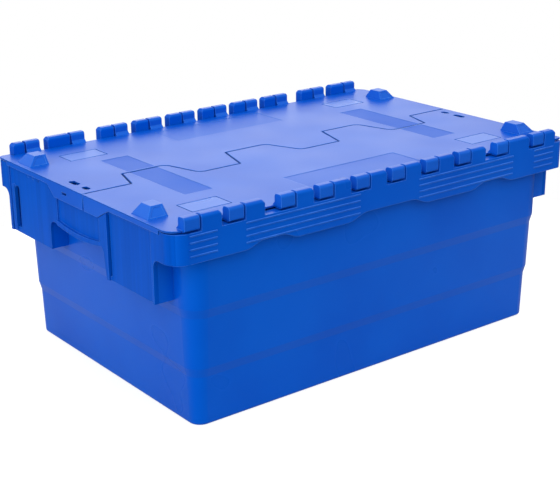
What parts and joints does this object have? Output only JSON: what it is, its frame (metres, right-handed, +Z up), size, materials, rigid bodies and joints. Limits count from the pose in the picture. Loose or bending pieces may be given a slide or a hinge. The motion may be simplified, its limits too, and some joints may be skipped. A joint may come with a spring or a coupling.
{
  "type": "stacking crate with hinged lids",
  "caption": "Stackable plastic storage crate: stepped tapering tub, skirted rim, hand grips in the ends, and hinged lid halves that meet in a toothed seam.",
  "frame": {"origin": "centre of the base, on the surface that the crate stands on", "axes": "+X along the long sides, +Y across to the far long side, +Z up"},
  "size_m": [0.6, 0.4, 0.252],
  "materials": {
    "body_plastic": "satin moulded polypropylene",
    "lid_plastic": "satin moulded polypropylene, finely grained on top"
  },
  "bodies": {
    "crate_body": {"tub": "body_plastic", "rim_near": "body_plastic", "rim_far": "body_plastic", "end_left": "body_plastic", "end_right": "body_plastic"},
    "near_lid": {"lid_near": "lid_plastic"},
    "far_lid": {"lid_far": "lid_plastic"}
  },
  "joints": [
    {"name": "near_lid_hinge", "type": "hinge", "parent": "crate_body", "child": "near_lid", "pos_m": [0, -0.1935, 0.2445], "axis": [1, 0, 0], "range_deg": [0, 262]},
    {"name": "far_lid_hinge", "type": "hinge", "parent": "crate_body", "child": "far_lid", "pos_m": [0, 0.1935, 0.2445], "axis": [-1, 0, 0], "range_deg": [0, 262]}
  ]
}
